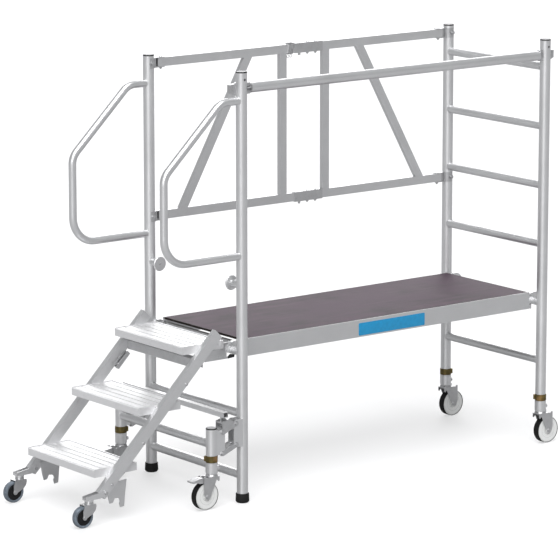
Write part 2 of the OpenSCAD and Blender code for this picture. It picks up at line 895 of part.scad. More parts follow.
module pedal_bar() {
  length = frame_width + 2 * pedal_overhang;
  color(aluminium)
    translate([left_x + pedal_bar[0], -length / 2, pedal_bar[1]]) rotate([0, 0, 90])
      box_tube(length, bar_size[0], bar_size[1], 2.5);
}

// ---- Stair ----

// Places its children on a stringer's middle line, +X running up the slope
module on_stringer(side, dx) {
  translate([left_x + dx, side * (frame_width / 2 - stringer_y), dx + stringer_rise])
    rotate([0, -45, 0]) children();
}

module stair_stringers() {
  length = (stringer_top_dx - stringer_low_dx) * sqrt(2);
  color(aluminium)
    for (side = [-1, 1]) on_stringer(side, stringer_low_dx) difference() {
      box_tube(length, stringer_w, stringer_h);
      translate([arm_pivot_along, 0, arm_pivot_drop]) y_rod(pin_r, 60);
    }
}

// Tread: ribbed top with lips, open below, its front corners cut off at a slant
module tread() {
  half = frame_width / 2 - tread_side;
  lip_h = 32;
  t = 2.5;
  ribs = 5;
  corner_x = 44;
  corner_y = 40;
  pitch = (tread_depth - 20) / ribs;
  intersection() {
    translate([0, half, 0]) rotate([90, 0, 0]) linear_extrude(2 * half) union() {
      difference() {
        polygon([
          [0, -lip_h], [0, -3], [3, 0], [tread_depth - 6, 0], [tread_depth - 4, 4],
          [tread_depth, 4], [tread_depth, -lip_h]
        ]);
        translate([t, -lip_h - 1]) square([tread_depth - 2 * t, lip_h + 1 - t - 1]);
      }
      for (i = [0:ribs - 1])
        polygon([
          [8 + i * pitch, 0], [10 + i * pitch, 2], [pitch - 6 + i * pitch, 2],
          [pitch - 4 + i * pitch, 0]
        ]);
    }
    translate([0, 0, -lip_h - 1]) linear_extrude(lip_h + 8) polygon([
      [-1, corner_y - half - 1], [corner_x, -half], [tread_depth + 1, -half],
      [tread_depth + 1, half], [corner_x, half], [-1, half - corner_y + 1]
    ]);
  }
  lip_top = -t - 1 - weld_gap;
  for (side = [0, 1]) mirror([0, side, 0]) {
    translate([corner_x + t, -half, -lip_h])
      cube([tread_depth - corner_x - 2 * t - weld_gap, t, lip_h + lip_top]);
    translate([0, 0, -lip_h]) linear_extrude(lip_h + lip_top) polygon([
      [t + weld_gap, corner_y - half - 2], [corner_x, -half], [corner_x + t, -half],
      [corner_x + t, t - half], [t + weld_gap, corner_y - half + 1]
    ]);
  }
}

module stair_treads() {
  color(aluminium)
    for (i = [0:2])
      translate([left_x + tread_front_dx - i * stair_going, 0, top_tread_z - i * stair_rise])
        tread();
}

// Cross channel under the top tread with an arm down each stringer
module stair_supports() {
  half = frame_width / 2 - tread_side;
  channel_h = 40;
  channel_dx = -170;
  channel_z = 638;
  color(zinc) {
    translate([left_x + channel_dx, 0, channel_z]) difference() {
      translate([-20, -half, -channel_h / 2]) cube([40, 2 * half, channel_h]);
      translate([-17, -half - 1, -channel_h / 2 - 1]) cube([34, 2 * half + 2, channel_h - 2]);
    }
    for (side = [-1, 1])
      translate([left_x + channel_dx - 22, side * (half - 12), channel_z - 26])
        rotate([0, 135, 0]) difference() {
          translate([8, -9, -10]) cube([90, 18, 20]);
          translate([0, -6.5, -14]) cube([140, 13, 21.5]);
        }
  }
}

// Hooks over the deck rung, foot plates under the lower ends
module stair_brackets() {
  inner = frame_width / 2 - tread_side;
  hook_r = rung_d / 2 + side_gap;
  color(aluminium)
    for (side = [-1, 1]) {
      translate([left_x, side * (inner - 2.5), 0]) y_plate(5) difference() {
        union() {
          polygon([
            [-138, 640], [-12, 640], [-12, 646], [-24, 668], [0, 700], [0, 714], [-33, 714],
            [-33, 687], [-138, 687]
          ]);
          translate([0, hook_rung_z]) circle(r = hook_r + 11);
        }
        translate([0, hook_rung_z]) circle(r = hook_r);
        translate([-hook_r, 648]) square([100, hook_rung_z - 648]);
      }
      translate([left_x, side * (inner - 2.5), 0]) y_plate(5) difference() {
        polygon([
          [-674, 166], [-640, 170], [-590, 175], [-566, 178], [-574, 120], [-580, 58],
          [-600, 55], [-608, 84], [-628, 104], [-640, 82], [-656, 80], [-664, 108]
        ]);
        translate([-618, 84]) circle(r = 16);
      }
    }
}

module stair_bolts() {
  inner = frame_width / 2 - tread_side;
  color(zinc)
    for (side = [-1, 1]) {
      translate([left_x - 258, side * (inner - 26), 562]) y_rod(5, 8, 6);
      for (x = [-66, -40])
        translate([left_x + x, side * (inner + 1), 652]) y_rod(4, 2);
      translate([left_x, side * (inner - 2.5), 0]) y_plate(8)
        polygon([[-12, 640], [22, 642], [24, 654], [4, 658], [-12, 646]]);
      on_stringer(side, stringer_low_dx) translate([arm_pivot_along, 0, arm_pivot_drop])
        y_bolt(pin_r, arm_inner + 2 * plate_t + 2);
    }
}

// ---- Sprung caster arms under the stair ----

arm_inner = stringer_w + 2 * side_gap;
arm_pivot_along = 22; // up the stringer from its lower end
arm_pivot_drop = -8;
step_axle_z = step_wheel_d / 2;
step_crown_z = 100;
step_race_z = 112;
step_head_z = 120;

// Pivot in the stair's frame, from the left post axis and the floor
arm_pivot = [
  stringer_low_dx + (arm_pivot_along - arm_pivot_drop) / sqrt(2),
  stringer_low_dx + stringer_rise + (arm_pivot_along + arm_pivot_drop) / sqrt(2)
];

module caster_arm(side) {
  outer = arm_inner + 2 * plate_t;
  translate([left_x, side * (frame_width / 2 - stringer_y), 0]) {
    difference() {
      union() {
        for (s = [-1, 1]) translate([0, s * (outer - plate_t) / 2, 0]) y_plate(plate_t)
          union() {
            translate(arm_pivot) circle(r = 14);
            polygon([
              [arm_pivot[0] + 10, arm_pivot[1] - 10], [arm_pivot[0] + 4, arm_pivot[1] + 13],
              [step_swivel_dx - 24, step_head_z + 16], [step_swivel_dx - 24, step_head_z],
              [arm_pivot[0] - 30, step_head_z]
            ]);
          }
        translate([step_swivel_dx - 24, -outer / 2, step_head_z])
          cube([46, outer, plate_t]);
        translate([step_swivel_dx, 0, 0]) rotate_extrude() polygon([
          [0, step_race_z + side_gap], [19, step_race_z + side_gap], [20, step_race_z + 2],
          [20, step_head_z + 1], [0, step_head_z + 1]
        ]);
        translate([step_swivel_dx, 0, step_crown_z - 6]) cylinder(r = 5, h = 20);
      }
      translate([arm_pivot[0], 0, arm_pivot[1]]) y_rod(pin_r + run_gap, 60);
    }
    translate([step_swivel_dx, 0, step_crown_z - 6]) difference() {
      cylinder(r = 8, h = 6 - side_gap, $fn = 6);
      translate([0, 0, -1]) cylinder(r = 5, h = 9);
    }
  }
}

module near_caster_arm() { color(aluminium) caster_arm(-1); }
module far_caster_arm() { color(aluminium) caster_arm(1); }

step_fork_inner = 34;
step_tyre_w = 28;
step_rim_r = 36;

module step_fork() {
  outer = step_fork_inner / 2 + 2.5;
  difference() {
    union() {
      for (side = [-1, 1]) translate([0, side * (outer - 1.25), 0]) y_plate(2.5)
        difference() {
          union() {
            polygon([
              [-24, step_crown_z + 3], [-26, step_crown_z - 8], [-22, step_crown_z - 24],
              [-8, step_crown_z - 40], [step_trail - 12, step_axle_z - 2],
              [step_trail + 9, step_axle_z - 4], [step_trail + 9, step_crown_z - 22],
              [step_trail + 2, step_crown_z - 6], [step_trail + 2, step_crown_z + 3]
            ]);
            translate([step_trail, step_axle_z]) circle(r = 11);
          }
          translate([step_trail, step_axle_z]) circle(r = 4);
        }
      translate([-24, -outer, step_crown_z]) cube([step_trail + 26, 2 * outer, 3]);
      translate([0, 0, step_crown_z]) cylinder(r1 = 20.5, r2 = 19, h = step_race_z - step_crown_z);
    }
    translate([0, 0, step_crown_z - 1]) cylinder(r = 5 + run_gap, h = 30);
  }
  translate([step_trail, 0, step_axle_z]) y_bolt(4, 2 * outer, 3);
}

module step_wheel() {
  translate([step_trail, 0, step_axle_z])
    wheel_disc(step_rim_r, step_tyre_w, step_fork_inner - 2 * side_gap, 12, 4 + run_gap);
}

module step_tyre() {
  translate([step_trail, 0, step_axle_z]) tyre_ring(step_rim_r, step_wheel_d / 2, step_tyre_w);
}

near_step_at = [left_x + step_swivel_dx, near_y + stringer_y, 180];
far_step_at = [left_x + step_swivel_dx, far_y - stringer_y, 180];

module near_step_fork() { color(zinc) stand(near_step_at) step_fork(); }
module far_step_fork() { color(zinc) stand(far_step_at) step_fork(); }
module near_step_wheel() { color(black) stand(near_step_at) step_wheel(); }
module far_step_wheel() { color(black) stand(far_step_at) step_wheel(); }
module near_step_tyre() { color([0.3, 0.33, 0.37]) stand(near_step_at) step_tyre(); }
module far_step_tyre() { color([0.3, 0.33, 0.37]) stand(far_step_at) step_tyre(); }

// ---- Fasteners that are fixed to the frame ----

// Bolt through a far post: head at the back, washer, nut and thread towards the deck
module guard_post_bolt() {
  saddle = post_d / 2 + bracket_wall;
  translate([0, -2, 0]) y_rod(guard_bolt_r, 2 * saddle + 16);
  translate([0, saddle + 2.5, 0]) y_rod(8, 5, 6);
  translate([0, -saddle - 1, 0]) y_rod(11, 2);
  translate([0, -saddle - 5, 0]) y_rod(9, 6, 6);
}

// Bolt down through the guard: domed head on top, nut and thread below
module guard_down_bolt(r, z) {
  over = bracket_inner + bracket_wall;
  translate([0, 0, z - over - 10]) cylinder(r = r, h = 2 * over + 10);
  translate([0, 0, z + over]) cylinder(r1 = 1.8 * r, r2 = 1.2 * r, h = 4);
  translate([0, 0, z - over - 6]) cylinder(r = 1.8 * r, h = 6, $fn = 6);
}

module frame_fasteners() {
  color(zinc) {
    // pins of the carriage links
    for (y = [near_y, far_y], pin = [upper_pin, lower_pin])
      translate([left_x + pin[0], y, pin[1]]) y_bolt(pin_r, link_pin_length);
    for (z = [guard_low_z, guard_top_z]) {
      for (x = centre_bolt_dx) translate([mid_x + x, far_y, 0]) guard_down_bolt(hinge_r, z);
      translate([mid_x - centre_pin_dx, far_y, z - 6])
        cylinder(r = centre_pin_r, h = 2 * (bracket_inner + bracket_wall) + 12, center = true);
      for (x = [left_x, right_x]) translate([x, far_y, z]) guard_post_bolt();
      for (x = [left_x + hinge_dx, right_x - hinge_dx])
        translate([x, far_y, 0]) guard_down_bolt(hinge_r, z);
    }
    // bolts in the roots of the deck claws
    for (x = [left_x, right_x], side = [-1, 1], at = claw_bolts)
      translate([x + sign(mid_x - x) * at[0], side * claw_y, hook_rung_z + at[1]])
        y_bolt(3, claw_t, 3);
  }
}

left_end_frame();
right_end_frame();
near_handrail();
far_handrail();
post_caps();
rubber_feet();
rail_studs();
front_rail();
front_rail_clamps();
guard_left_half();
guard_right_half();
guard_centre_brackets();
guard_lock_spring();
guard_post_brackets();
deck_board();
deck_frame();
deck_claws();
wind_lock_hooks();
link_brackets();
frame_fasteners();
right_caster_sockets();
right_collars();
near_right_fork();
near_right_wheel();
near_right_tyre();
far_right_fork();
far_right_wheel();
far_right_tyre();
near_left_fork();
near_left_wheel();
near_left_tyre();
near_left_brake();
far_left_fork();
far_left_wheel();
far_left_tyre();
far_left_brake();
carriage_frame();
carriage_sockets();
carriage_collars();
carriage_caps();
carriage_pins();
upper_links();
pedal_bar();
lower_links();
stair_stringers();
stair_treads();
stair_supports();
stair_brackets();
stair_bolts();
near_caster_arm();
far_caster_arm();
near_step_fork();
near_step_wheel();
near_step_tyre();
far_step_fork();
far_step_wheel();
far_step_tyre();
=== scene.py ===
"""Looks of a folding one-person work platform: finishes, small fittings, stage and camera."""

import json
import math

import bpy
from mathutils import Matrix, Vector


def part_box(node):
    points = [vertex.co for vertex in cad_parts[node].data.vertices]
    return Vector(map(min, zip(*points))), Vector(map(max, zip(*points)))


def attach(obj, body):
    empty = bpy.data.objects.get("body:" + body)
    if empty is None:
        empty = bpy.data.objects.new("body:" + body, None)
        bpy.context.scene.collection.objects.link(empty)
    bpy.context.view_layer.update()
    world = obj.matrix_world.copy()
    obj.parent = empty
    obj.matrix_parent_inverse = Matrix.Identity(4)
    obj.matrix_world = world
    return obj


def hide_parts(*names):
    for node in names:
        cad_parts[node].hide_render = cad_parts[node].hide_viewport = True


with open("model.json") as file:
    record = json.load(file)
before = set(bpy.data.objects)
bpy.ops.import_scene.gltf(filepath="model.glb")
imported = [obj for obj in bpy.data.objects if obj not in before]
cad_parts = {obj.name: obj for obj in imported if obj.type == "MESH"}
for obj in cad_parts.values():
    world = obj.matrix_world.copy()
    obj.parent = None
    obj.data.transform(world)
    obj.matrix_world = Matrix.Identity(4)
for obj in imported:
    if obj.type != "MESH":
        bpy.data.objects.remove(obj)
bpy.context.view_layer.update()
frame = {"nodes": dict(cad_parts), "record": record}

bl_info = {
    "name": "Work platform",
    "version": (1, 0, 0),
    "blender": (4, 5, 0),
    "location": "View3D > Sidebar > Platform",
    "description": "Finishes and fittings of a folding one-person work platform",
    "category": "Object",
}


def node_middle(node):
    """Middle of a CAD node's box."""
    low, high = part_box(node)
    return (low + high) / 2


# ---------------------------------------------------------------- lengths of the frame

POST_R = 0.025
FOOT_R = 0.031
NEAR_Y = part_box("rubber_feet")[0].y + FOOT_R  # the near posts' axes
LEFT_X = node_middle("left_end_frame").x
RIGHT_X = node_middle("right_end_frame").x
DECK_LOW, DECK_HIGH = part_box("deck_board")
FIRST_RUNG_Z = 0.123
RUNG_PITCH = 0.28
STAIR_RISE = 0.24
STAIR_GOING = 0.238
NEARLY = 1e-5  # slack when edges and faces are picked by their place


# ---------------------------------------------------------------- shader maths


class Value:
    """A socket of a shader tree that can stand in Python expressions, beside plain numbers."""

    def __init__(self, tree, socket):
        self.tree = tree
        self.socket = socket

    def _math(self, operation, *operands):
        return self.tree.node("ShaderNodeMath", {"operation": operation}, *operands)

    def __add__(self, other):
        return self._math("ADD", self, other)

    __radd__ = __add__

    def __sub__(self, other):
        return self._math("SUBTRACT", self, other)

    def __rsub__(self, other):
        return self._math("SUBTRACT", other, self)

    def __mul__(self, other):
        return self._math("MULTIPLY", self, other)

    __rmul__ = __mul__

    def __truediv__(self, other):
        return self._math("DIVIDE", self, other)

    def __pow__(self, other):
        return self._math("POWER", self, other)

    def __abs__(self):
        return self._math("ABSOLUTE", self)

    def above(self, limit):
        """1 where the value is above the limit, 0 elsewhere."""
        return self._math("GREATER_THAN", self, limit)

    def below(self, limit):
        """1 where the value is below the limit, 0 elsewhere."""
        return self._math("LESS_THAN", self, limit)

    def ripple(self, rate):
        """Waves between 0 and 1, rate radians to the metre."""
        return self._math("SINE", self * rate) * 0.5 + 0.5

    def clamped(self):
        """The value kept between 0 and 1."""
        return self._math("MINIMUM", self._math("MAXIMUM", self, 0.0), 1.0)

    def ramp(self, low, high):
        """0 at low, 1 at high, straight between."""
        return ((self - low) / (high - low)).clamped()


class Finish:
    """A material under construction, with one Principled shader."""

    def __init__(self, name):
        self.material = bpy.data.materials.new(name)
        self.material.use_nodes = True
        self.nodes = self.material.node_tree.nodes
        self.links = self.material.node_tree.links
        self.shader = next(n for n in self.nodes if n.type == "BSDF_PRINCIPLED")
        place = self.nodes.new("ShaderNodeTexCoord").outputs["Object"]
        self.place = Value(self, place)

    def feed(self, socket, value):
        """Links a Value to a socket, or sets a plain number or colour."""
        if isinstance(value, Value):
            self.links.new(value.socket, socket)
        else:
            socket.default_value = value

    def node(self, kind, settings=None, *inputs, out=0, **named):
        """Adds a node: its settings first, then its inputs by order or by name."""
        made = self.nodes.new(kind)
        for key, value in (settings or {}).items():
            setattr(made, key, value)
        for socket, value in zip(made.inputs, inputs):
            self.feed(socket, value)
        for key, value in named.items():
            self.feed(made.inputs[key.replace("_", " ")], value)
        return Value(self, made.outputs[out])

    def axes(self):
        """The object coordinates x, y and z, in metres."""
        made = self.nodes.new("ShaderNodeSeparateXYZ")
        self.links.new(self.place.socket, made.inputs[0])
        return [Value(self, s) for s in made.outputs]

    def vector(self, x, y, z):
        return self.node("ShaderNodeCombineXYZ", None, x, y, z)

    def facing(self):
        """The normal of the surface in the object's own axes, x, y and z."""
        made = self.nodes.new("ShaderNodeSeparateXYZ")
        normal = self.place.socket.node.outputs["Normal"]
        self.links.new(normal, made.inputs[0])
        return [Value(self, s) for s in made.outputs]

    def noise(self, scale, detail=3.0, vector=None, roughness=0.55):
        """Soft noise between 0 and 1 with that many cells per metre."""
        return self.node(
            "ShaderNodeTexNoise",
            None,
            Vector=vector or self.place,
            Scale=scale,
            Detail=detail,
            Roughness=roughness,
        )

    def stretched(self, scale, along, stretch=0.03, detail=3.0):
        """Noise drawn out along one axis (0, 1 or 2)."""
        xyz = self.axes()
        xyz[along] = xyz[along] * stretch
        return self.noise(scale, detail, self.vector(*xyz))

    def mix(self, factor, first, second):
        """Blend of two colours."""
        made = self.nodes.new("ShaderNodeMix")
        made.data_type = "RGBA"
        self.feed(made.inputs["Factor"], factor)
        sockets = [s for s in made.inputs if s.type == "RGBA"]
        self.feed(sockets[0], rgba(first))
        self.feed(sockets[1], rgba(second))
        return Value(self, next(s for s in made.outputs if s.type == "RGBA"))

    def bump(self, height, distance, strength=1.0):
        """Feeds the shader's normal from a height in units of distance metres."""
        made = self.nodes.new("ShaderNodeBump")
        made.inputs["Strength"].default_value = strength
        made.inputs["Distance"].default_value = distance
        self.feed(made.inputs["Height"], height)
        self.links.new(made.outputs["Normal"], self.shader.inputs["Normal"])

    def set(self, **values):
        """Sets or links sockets of the Principled shader by name."""
        for key, value in values.items():
            name = key.replace("_", " ")
            self.feed(self.shader.inputs[name], rgba(value) if "Color" in name else value)


def rgba(colour):
    """A colour with its alpha, or a Value as it is."""
    if isinstance(colour, Value) or len(colour) == 4:
        return colour
    return (*colour, 1.0)


def shade(colour, k):
    """A colour made lighter or darker."""
    return tuple(min(1.0, c * k) for c in colour[:3])


# ---------------------------------------------------------------- finishes

X, Y, Z = range(3)
SKIN = 0.0005  # a face this near a surface counts as part of it
CAP_BLACK = (0.012, 0.012, 0.012)
CAP_PALE_TOP = ((0.30, 0.30, 0.31), (0.42, 0.42, 0.43))
BRASS_STAIN = (0.33, 0.19, 0.08)
FILM_WARM = (0.056, 0.03, 0.05)
PLY_EDGE = ((0.008, 0.006, 0.006), (0.02, 0.014, 0.012))
# black painted as shade on the undersides of the brake pedals
PEDAL_UNDERSIDE_SHADE = (0.015, 0.015, 0.015)
LATCH_TIP = (0.02, 0.02, 0.022)
LABEL_SCUFF = (0.3, 0.45, 0.55)
# radius and half width of the rings turned in a wheel's face, which are also painted darker as
# shade
WHEEL_RINGS = ((0.0215, 0.0012), (0.0385, 0.0006), (0.0165, 0.0008))


def drawn_lines(f, along):
    """Fine lines along the axis in which a profile was drawn."""
    return f.stretched(900.0, along, 0.01, 2.0)


def satin(f, colour, lines, rough, metal=0.9):
    """Gives a finish the cloudy tone, soft gloss and shallow grain of satin metal."""
    cloud = f.noise(7.0, 4.0)
    tone = (cloud * 0.6 + lines * 0.4).ramp(0.3, 0.7)
    f.set(
        Base_Color=f.mix(tone, shade(colour, 0.93), shade(colour, 1.04)),
        Metallic=metal,
        Roughness=rough + lines * 0.1 + cloud * 0.08,
    )
    f.bump(lines, 0.00004, 0.5)
    return f.material


def drawn_aluminium(name, colour, along, rough=0.36, metal=0.9):
    """Satin aluminium with fine lines along the way it was drawn."""
    f = Finish(name)
    return satin(f, colour, drawn_lines(f, along), rough, metal)


def end_frame_aluminium(name, colour):
    """Tube finish whose lines run up the posts and along the rungs."""
    f = Finish(name)
    _, y, _ = f.axes()
    on_post = abs(y).above(abs(NEAR_Y) - POST_R - SKIN)
    up = drawn_lines(f, Z)
    across = drawn_lines(f, Y)
    smudge = f.noise(28.0, 2.0).ramp(0.55, 0.8)
    return satin(f, colour, across + (up - across) * on_post, 0.34 + smudge * 0.05)


def tread_metal(name, colour):
    """Pale extruded tread: fine grooves along it, scuffed by shoes."""
    f = Finish(name)
    x, _, _ = f.axes()
    lines = f.stretched(700.0, Y, 0.01, 2.0)
    groove = x.ripple(1800.0)
    scuff = f.noise(22.0, 5.0).ramp(0.55, 0.8)
    tone = (lines * 0.5 + groove * 0.5).ramp(0.1, 0.9)
    base = f.mix(tone, shade(colour, 0.88), shade(colour, 1.05))
    f.set(
        Base_Color=f.mix(scuff * 0.25, base, shade(colour, 0.7)),
        Metallic=0.5,
        Roughness=0.36 + lines * 0.1 + scuff * 0.12,
    )
    f.bump(groove * 0.6 + lines * 0.4, 0.0003, 0.5)
    return f.material


def zinc_plate(name, colour):
    """Zinc plated steel: small spangle, a little dull."""
    f = Finish(name)
    cells = f.node("ShaderNodeTexVoronoi", {"feature": "F1"}, Scale=260.0, out=1)
    grey = f.node("ShaderNodeRGBToBW", None, cells)
    cloud = f.noise(30.0, 3.0)
    tone = (grey * 0.35 + cloud * 0.65).ramp(0.25, 0.75)
    f.set(
        Base_Color=f.mix(tone, shade(colour, 0.86), shade(colour, 1.08)),
        Metallic=0.9,
        Roughness=0.22 + grey * 0.1 + cloud * 0.12,
    )
    f.bump(cloud, 0.0001, 0.25)
    return f.material


def moulded_plastic(name, colour):
    """Plastic with the fine grain of its mould."""
    f = Finish(name)
    fine = f.noise(1400.0, 2.0)
    cloud = f.noise(18.0, 3.0)
    f.set(
        Base_Color=f.mix(cloud.ramp(0.3, 0.7), shade(colour, 0.88), shade(colour, 1.1)),
        Roughness=0.45 + fine * 0.12,
        Specular_IOR_Level=0.25,
    )
    f.bump(fine, 0.00006, 0.4)
    return f.material


def rubber(name, colour):
    """Rubber with a dusty bloom."""
    f = Finish(name)
    fine = f.noise(900.0, 3.0)
    dust = f.noise(40.0, 4.0).ramp(0.45, 0.75)
    f.set(
        Base_Color=f.mix(dust, colour, shade(colour, 1.9)),
        Roughness=0.62 + fine * 0.15,
        Specular_IOR_Level=0.25,
    )
    f.bump(fine, 0.0001, 0.4)
    return f.material


def banded_tyre(name, colour, side_colour):
    """Black running band whose side faces are the pale plastic of the disc."""
    f = Finish(name)
    _, facing_y, _ = f.facing()
    side = abs(facing_y).above(0.8)
    fine = f.noise(900.0, 3.0)
    dust = f.noise(40.0, 4.0).ramp(0.45, 0.75)
    band = f.mix(dust, colour, shade(colour, 2.2))
    f.set(
        Base_Color=f.mix(side, band, f.mix(dust, side_colour, shade(side_colour, 0.88))),
        Roughness=0.6 - side * 0.2 + fine * 0.12,
        Specular_IOR_Level=0.25,
    )
    f.bump(fine, 0.0001, 0.4)
    return f.material


def brass_plate(name, colour):
    """Yellow passivated collar, unevenly stained."""
    f = Finish(name)
    cloud = f.noise(60.0, 4.0)
    stain = f.noise(25.0, 2.0).ramp(0.5, 0.75)
    worn = f.mix(cloud.ramp(0.4, 0.7), shade(colour, 0.7), shade(colour, 1.25))
    f.set(
        Base_Color=f.mix(stain, worn, BRASS_STAIN),
        Metallic=0.75,
        Roughness=0.36 + cloud * 0.15,
    )
    f.bump(cloud, 0.0001, 0.3)
    return f.material


def deck_film(name, colour):
    """Dark phenolic film on plywood, streaked along the deck, with a nearly black sealed edge."""
    end_seal, side_seal = 0.004, 0.003
    f = Finish(name)
    x, y, z = f.axes()
    streak = f.stretched(30.0, X, 0.12, 5.0)
    blotch = f.noise(6.5, 4.0)
    mesh = f.noise(420.0, 2.0)
    tone = (streak * 0.55 + blotch * 0.45).ramp(0.36, 0.64)
    film = f.mix(tone, shade(colour, 0.6), shade(colour, 1.5))
    warm = f.mix(f.noise(3.5, 3.0).ramp(0.4, 0.65), film, FILM_WARM)
    rubbed = streak.ramp(0.6, 0.72) * mesh.ramp(0.45, 0.6)
    edge = f.mix(z.ripple(3600.0).ramp(0.2, 0.8), *PLY_EDGE)
    middle = (DECK_LOW.x + DECK_HIGH.x) / 2
    half = (DECK_HIGH.x - DECK_LOW.x) / 2
    top = z.above(DECK_HIGH.z - SKIN)
    at_end = abs(x - middle).above(half - end_seal)
    at_side = abs(y).above(DECK_HIGH.y - side_seal)
    inner = top * (1.0 - at_end) * (1.0 - at_side)
    face = f.mix(rubbed * 0.4, warm, shade(colour, 2.2))
    f.set(
        Base_Color=f.mix(inner, edge, face),
        Roughness=0.52 + mesh * 0.12 + streak * 0.08,
        Specular_IOR_Level=0.16,
    )
    f.bump(mesh * 0.6 + streak * 0.4, 0.0003, 0.5)
    return f.material


def cap_plastic(name, along, spread):
    """Black caps over the posts, each with a pale top inside a dark rim.

    They stand in two rows along X: along is the middle of a row, spread is half its length.
    """
    pale_top_share, pale_top_depth = 0.86, 0.0012
    f = Finish(name)
    x, y, z = f.axes()
    dx = abs(x - along) - spread
    dy = abs(y) - abs(NEAR_Y)
    from_middle = (dx * dx + dy * dy) ** 0.5
    fine = f.noise(900.0, 2.0)
    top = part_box(name)[1].z
    # the flat top inside the rim is given the pale greys, the rest stays black
    inside = from_middle.below(POST_R * pale_top_share) * z.above(top - pale_top_depth)
    face = f.mix(f.noise(60.0, 3.0).ramp(0.3, 0.7), *CAP_PALE_TOP)
    f.set(
        Base_Color=f.mix(inside, CAP_BLACK, face),
        Roughness=0.42 + fine * 0.15,
    )
    f.bump(fine, 0.00005, 0.4)
    return f.material


def wheel_face(name, colour):
    """Moulded wheel disc with shallow turned rings round its axle; the rings are painted darker
    as shade, with faint clouds of dirt.
    """
    f = Finish(name)
    x, _, z = f.axes()
    middle = node_middle(name)
    dx = x - middle.x
    dz = z - middle.z
    radius = (dx * dx + dz * dz) ** 0.5
    cloud = f.noise(25.0, 3.0)
    fine = f.noise(1200.0, 2.0)
    ring = sum(abs(radius - at).below(half_width) for at, half_width in WHEEL_RINGS)
    # painted shade: the rings are darkened as if shade lay in them, and the clouds add a little
    # dirt
    ring_shade_and_dirt = (ring * 0.55 + cloud.ramp(0.55, 0.85) * 0.15).clamped()
    f.set(
        Base_Color=f.mix(ring_shade_and_dirt, colour, shade(colour, 0.35)),
        Roughness=0.36 + fine * 0.12,
    )
    f.bump(fine * 0.4 - ring, 0.0003, 0.5)
    return f.material


def pedal_steel(name, colour):
    """Plated brake pedal, its underside painted black as shade."""
    f = Finish(name)
    _, _, facing_z = f.facing()
    # painted shade: faces that look down are made black, matt and not metallic
    under = facing_z.below(-0.2)
    cloud = f.noise(40.0, 3.0)
    plate = f.mix(cloud.ramp(0.3, 0.7), shade(colour, 0.9), shade(colour, 1.1))
    f.set(
        Base_Color=f.mix(under, plate, PEDAL_UNDERSIDE_SHADE),
        Metallic=(1.0 - under) * 0.85,
        Roughness=0.3 + under * 0.3 + cloud * 0.12,
    )
    f.bump(cloud, 0.0001, 0.3)
    return f.material


def stair_bolt_steel(name, colour):
    """Plated bolts, and the black tip of the stair's latch."""
    tip_reach = 0.013
    f = Finish(name)
    x, _, _ = f.axes()
    tip = x.above(LEFT_X - tip_reach)
    cloud = f.noise(40.0, 3.0)
    plate = f.mix(cloud.ramp(0.3, 0.7), shade(colour, 0.9), shade(colour, 1.15))
    f.set(
        Base_Color=f.mix(tip, plate, LATCH_TIP),
        Metallic=(1.0 - tip) * 0.9,
        Roughness=0.28 + tip * 0.3 + cloud * 0.12,
    )
    f.bump(cloud, 0.0001, 0.3)
    return f.material


def label_film(name, colour):
    """Printed film: slightly uneven ink, scuffed here and there, under a thin gloss coat."""
    f = Finish(name)
    ink = f.noise(60.0, 4.0)
    fine = f.noise(900.0, 2.0)
    scuff = f.stretched(160.0, X, 0.08, 3.0).ramp(0.68, 0.8)
    base = f.mix(ink.ramp(0.3, 0.7), shade(colour, 0.92), shade(colour, 1.1))
    f.set(
        Base_Color=f.mix(scuff * 0.25, base, LABEL_SCUFF),
        Roughness=0.3 + fine * 0.1 + scuff * 0.15,
        Coat_Weight=0.08,
    )
    f.bump(fine, 0.00003, 0.3)
    return f.material


class FinishSettings(bpy.types.PropertyGroup):
    """Colours of the parts"""

    tube: bpy.props.FloatVectorProperty(
        name="Tubes", description="Aluminium of the posts, rungs and handrails",
        size=3, default=(0.74, 0.742, 0.75), subtype="COLOR",
    )
    bar: bpy.props.FloatVectorProperty(
        name="Bars", description="Aluminium of the back guard and the deck's beams",
        size=3, default=(0.68, 0.682, 0.69), subtype="COLOR",
    )
    tread: bpy.props.FloatVectorProperty(
        name="Treads", description="Aluminium of the stair's treads",
        size=3, default=(0.72, 0.72, 0.73), subtype="COLOR",
    )
    zinc: bpy.props.FloatVectorProperty(
        name="Zinc", description="Plated steel of forks, bolts and brackets",
        size=3, default=(0.56, 0.562, 0.57), subtype="COLOR",
    )
    collar: bpy.props.FloatVectorProperty(
        name="Collars", description="Yellow collars over the large casters",
        size=3, default=(0.15, 0.115, 0.04), subtype="COLOR",
    )
    black: bpy.props.FloatVectorProperty(
        name="Black plastic", description="Small black plastic parts",
        size=3, default=(0.012, 0.012, 0.012), subtype="COLOR",
    )
    foot: bpy.props.FloatVectorProperty(
        name="Feet", description="Rubber feet of the left posts",
        size=3, default=(0.008, 0.008, 0.008), subtype="COLOR",
    )
    wheel: bpy.props.FloatVectorProperty(
        name="Large wheels", description="Pale plastic discs of the large casters",
        size=3, default=(0.76, 0.765, 0.755), subtype="COLOR",
    )
    tyre: bpy.props.FloatVectorProperty(
        name="Large tyres", description="Running band of the large casters",
        size=3, default=(0.005, 0.005, 0.005), subtype="COLOR",
    )
    tyre_side: bpy.props.FloatVectorProperty(
        name="Tyre sides", description="Side faces of the large casters' tyres",
        size=3, default=(0.7, 0.705, 0.695), subtype="COLOR",
    )
    step_wheel: bpy.props.FloatVectorProperty(
        name="Stair wheels", description="Dark discs of the stair's casters",
        size=3, default=(0.008, 0.008, 0.009), subtype="COLOR",
    )
    step_tyre: bpy.props.FloatVectorProperty(
        name="Stair tyres", description="Blue grey tyres of the stair's casters",
        size=3, default=(0.115, 0.135, 0.16), subtype="COLOR",
    )
    deck: bpy.props.FloatVectorProperty(
        name="Deck", description="Phenolic film on the deck's board",
        size=3, default=(0.05, 0.031, 0.044), subtype="COLOR",
    )


